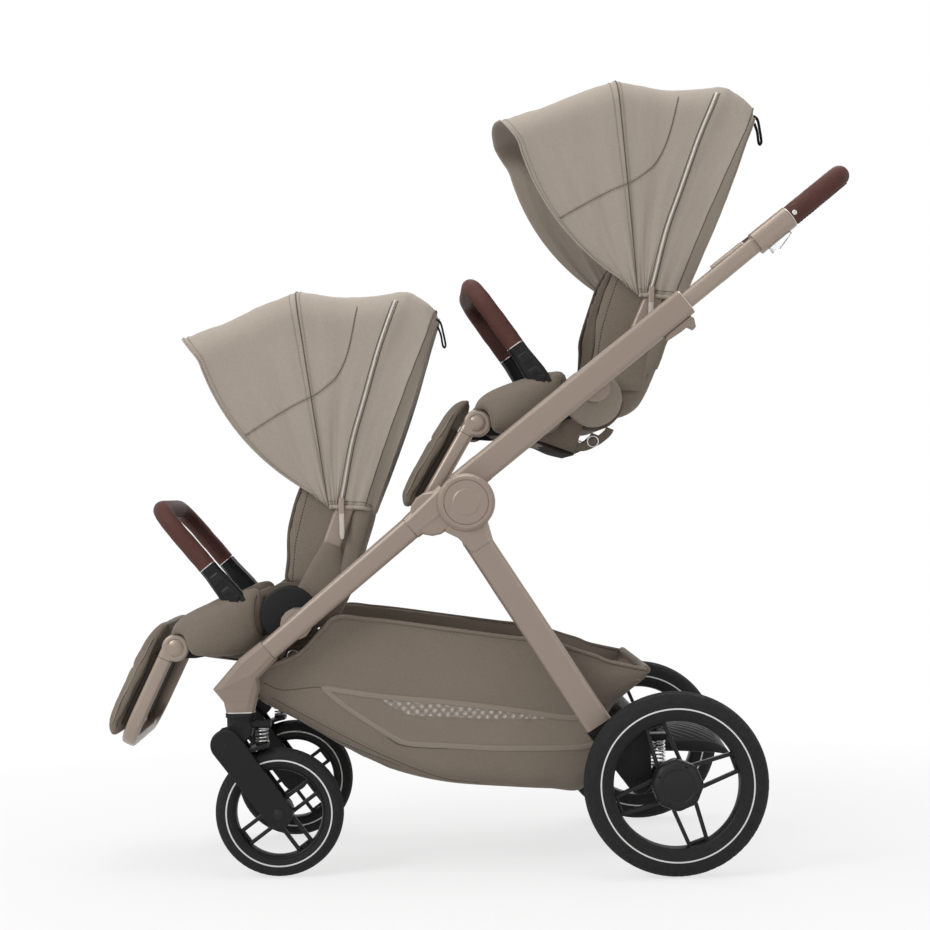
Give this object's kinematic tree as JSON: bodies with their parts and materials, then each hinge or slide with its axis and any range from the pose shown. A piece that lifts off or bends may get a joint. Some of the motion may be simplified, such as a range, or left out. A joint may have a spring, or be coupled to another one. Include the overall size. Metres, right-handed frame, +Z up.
{
  "type": "tandem pushchair",
  "caption": "Tandem pushchair with an upper and a lower seat on a folding frame, canopies, bumper bars, legrests, a mesh basket, sprung wheels and a telescopic leather handle.",
  "frame": {"origin": "centre of the bounding box at ground level, on the middle plane", "axes": "+Z up, -X forward in the direction of travel, +Y to the pushchair's right"},
  "size_m": [1.1734, 0.604, 1.236],
  "materials": {
    "basket_cloth": "woven",
    "black_metal": "satin",
    "black_plastic": "fine grained",
    "canopy_cloth": "woven",
    "clear_plastic": "clear",
    "frame_taupe": "satin",
    "grip_leather": "stitched, satin",
    "handle_taupe": "satin",
    "hub_plastic": "satin",
    "knee_plastic": "satin",
    "rim_plastic": "satin",
    "seat_cloth": "woven",
    "spring_steel": "bright",
    "trigger_plastic": "satin",
    "tyre_rubber": "fine grained"
  },
  "bodies": {
    "chassis": {"front_leg_left": "frame_taupe", "front_leg_right": "frame_taupe", "front_knee_left": "knee_plastic", "front_knee_right": "knee_plastic", "front_cross_tube": "black_metal", "rear_leg_left": "frame_taupe", "rear_leg_right": "frame_taupe", "hub_housing_left": "hub_plastic", "hub_housing_right": "hub_plastic", "rear_axle_beam": "black_plastic", "basket": "basket_cloth", "lower_seat_base": "seat_cloth", "lower_seat_hub_left": "black_plastic", "lower_seat_hub_right": "black_plastic", "lower_bumper_end_left": "black_plastic", "lower_bumper_end_right": "black_plastic", "rear_spring_left": "spring_steel", "rear_spring_right": "spring_steel"},
    "upper_frame": {"upper_tube_left": "frame_taupe", "upper_tube_right": "frame_taupe", "upper_seat_base": "seat_cloth", "upper_seat_hub_left": "black_plastic", "upper_seat_hub_right": "black_plastic", "upper_bumper_end_left": "black_plastic", "upper_bumper_end_right": "black_plastic"},
    "handle": {"handle_tube_left": "handle_taupe", "handle_tube_right": "handle_taupe", "handle_grip": "grip_leather"},
    "handle_lever": {"handle_release": "clear_plastic"},
    "pedal": {"brake_pedal": "black_plastic"},
    "trigger_left": {"fold_trigger_left": "trigger_plastic"},
    "swivel_left": {"caster_left": "black_plastic", "front_spring_left": "spring_steel"},
    "trailing_fork_left": {"fork_left": "black_plastic"},
    "front_wheel_left": {"front_tyre_left": "tyre_rubber", "front_rim_left": "rim_plastic"},
    "suspension_arm_left": {"rear_arm_left": "black_plastic"},
    "rear_wheel_left": {"rear_tyre_left": "tyre_rubber", "rear_rim_left": "rim_plastic"},
    "trigger_right": {"fold_trigger_right": "trigger_plastic"},
    "swivel_right": {"caster_right": "black_plastic", "front_spring_right": "spring_steel"},
    "trailing_fork_right": {"fork_right": "black_plastic"},
    "front_wheel_right": {"front_tyre_right": "tyre_rubber", "front_rim_right": "rim_plastic"},
    "suspension_arm_right": {"rear_arm_right": "black_plastic"},
    "rear_wheel_right": {"rear_tyre_right": "tyre_rubber", "rear_rim_right": "rim_plastic"},
    "lower_back": {"lower_backrest": "seat_cloth", "lower_canopy_rear": "canopy_cloth"},
    "lower_canopy": {"lower_canopy_front": "canopy_cloth"},
    "lower_legrest": {"lower_legrest_frame": "handle_taupe", "lower_legrest_pad": "seat_cloth"},
    "lower_bumper": {"lower_bumper_bar": "grip_leather"},
    "upper_back": {"upper_backrest": "seat_cloth", "upper_canopy_rear": "canopy_cloth"},
    "upper_canopy": {"upper_canopy_front": "canopy_cloth"},
    "upper_legrest": {"upper_legrest_frame": "handle_taupe", "upper_legrest_pad": "seat_cloth"},
    "upper_bumper": {"upper_bumper_bar": "grip_leather"}
  },
  "joints": [
    {"name": "frame_fold", "type": "hinge", "parent": "chassis", "child": "upper_frame", "pos_m": [-0.02194, 0, 0.569], "axis": [0, 1, 0], "range_deg": [0, 60]},
    {"name": "fold_trigger_slide_left", "type": "slide", "parent": "upper_frame", "child": "trigger_left", "axis": [0.7896, 0, 0.6136], "range_m": [0, 0.01], "stiffness_N_per_m": 250, "springref_m": -0.006},
    {"name": "fold_trigger_slide_right", "type": "slide", "parent": "upper_frame", "child": "trigger_right", "axis": [0.7896, 0, 0.6136], "range_m": [0, 0.01], "stiffness_N_per_m": 250, "springref_m": -0.006},
    {"name": "handle_extension", "type": "slide", "parent": "upper_frame", "child": "handle", "axis": [-0.7896, 0, -0.6136], "range_m": [0, 0.1]},
    {"name": "handle_release_press", "type": "hinge", "parent": "handle", "child": "handle_lever", "pos_m": [0.4537, -0.2055, 0.94702], "axis": [0, 1, 0], "range_deg": [0, 8], "stiffness_Nm_per_rad": 0.5, "springref_deg": -17.19},
    {"name": "caster_swivel_left", "type": "hinge", "parent": "chassis", "child": "swivel_left", "pos_m": [-0.37644, -0.19, 0.253], "axis": [0, 0, 1], "continuous": true},
    {"name": "front_suspension_left", "type": "hinge", "parent": "swivel_left", "child": "trailing_fork_left", "pos_m": [-0.39794, -0.19, 0.207], "axis": [0, 1, 0], "range_deg": [-6, 0], "stiffness_Nm_per_rad": 30, "springref_deg": 11.46, "deforming": ["front_spring_left"]},
    {"name": "front_wheel_spin_left", "type": "hinge", "parent": "trailing_fork_left", "child": "front_wheel_left", "pos_m": [-0.31994, -0.19, 0.099], "axis": [0, 1, 0], "continuous": true},
    {"name": "caster_swivel_right", "type": "hinge", "parent": "chassis", "child": "swivel_right", "pos_m": [-0.37644, 0.19, 0.253], "axis": [0, 0, 1], "continuous": true},
    {"name": "front_suspension_right", "type": "hinge", "parent": "swivel_right", "child": "trailing_fork_right", "pos_m": [-0.39794, 0.19, 0.207], "axis": [0, 1, 0], "range_deg": [-6, 0], "stiffness_Nm_per_rad": 30, "springref_deg": 11.46, "deforming": ["front_spring_right"]},
    {"name": "front_wheel_spin_right", "type": "hinge", "parent": "trailing_fork_right", "child": "front_wheel_right", "pos_m": [-0.31994, 0.19, 0.099], "axis": [0, 1, 0], "continuous": true},
    {"name": "rear_suspension_left", "type": "hinge", "parent": "chassis", "child": "suspension_arm_left", "pos_m": [0.23106, -0.211, 0.138], "axis": [0, 1, 0], "range_deg": [-8, 0], "stiffness_Nm_per_rad": 40, "springref_deg": 11.46, "deforming": ["rear_spring_left"]},
    {"name": "rear_wheel_spin_left", "type": "hinge", "parent": "suspension_arm_left", "child": "rear_wheel_left", "pos_m": [0.28206, -0.275, 0.139], "axis": [0, 1, 0], "continuous": true},
    {"name": "rear_suspension_right", "type": "hinge", "parent": "chassis", "child": "suspension_arm_right", "pos_m": [0.23106, 0.211, 0.138], "axis": [0, 1, 0], "range_deg": [-8, 0], "stiffness_Nm_per_rad": 40, "springref_deg": 11.46, "deforming": ["rear_spring_right"]},
    {"name": "rear_wheel_spin_right", "type": "hinge", "parent": "suspension_arm_right", "child": "rear_wheel_right", "pos_m": [0.28206, 0.275, 0.139], "axis": [0, 1, 0], "continuous": true},
    {"name": "brake_pedal_press", "type": "hinge", "parent": "chassis", "child": "pedal", "pos_m": [0.25906, 0, 0.196], "axis": [0, 1, 0], "range_deg": [0, 12]},
    {"name": "lower_recline", "type": "hinge", "parent": "chassis", "child": "lower_back", "pos_m": [-0.30094, 0, 0.401], "axis": [0, 1, 0], "range_deg": [-12, 3]},
    {"name": "lower_canopy_fold", "type": "hinge", "parent": "lower_back", "child": "lower_canopy", "pos_m": [-0.23494, 0, 0.566], "axis": [0, 1, 0], "range_deg": [0, 32], "deforming": ["lower_canopy_front"]},
    {"name": "lower_legrest_tilt", "type": "hinge", "parent": "chassis", "child": "lower_legrest", "pos_m": [-0.47894, 0, 0.353], "axis": [0, 1, 0], "range_deg": [0, 35]},
    {"name": "lower_bumper_release", "type": "slide", "parent": "chassis", "child": "lower_bumper", "axis": [-0.6192, 0, 0.7853], "range_m": [0, 0.03]},
    {"name": "upper_recline", "type": "hinge", "parent": "upper_frame", "child": "upper_back", "pos_m": [0.18206, 0, 0.725], "axis": [0, 1, 0], "range_deg": [-12, 10]},
    {"name": "upper_canopy_fold", "type": "hinge", "parent": "upper_back", "child": "upper_canopy", "pos_m": [0.25773, 0, 0.88579], "axis": [0, 1, 0], "range_deg": [0, 32], "deforming": ["upper_canopy_front"]},
    {"name": "upper_legrest_tilt", "type": "hinge", "parent": "upper_frame", "child": "upper_legrest", "pos_m": [0.00079, 0, 0.69143], "axis": [0, 1, 0], "range_deg": [0, 8]},
    {"name": "upper_bumper_release", "type": "slide", "parent": "upper_frame", "child": "upper_bumper", "axis": [-0.5542, 0, 0.8324], "range_m": [0, 0.03]}
  ]
}
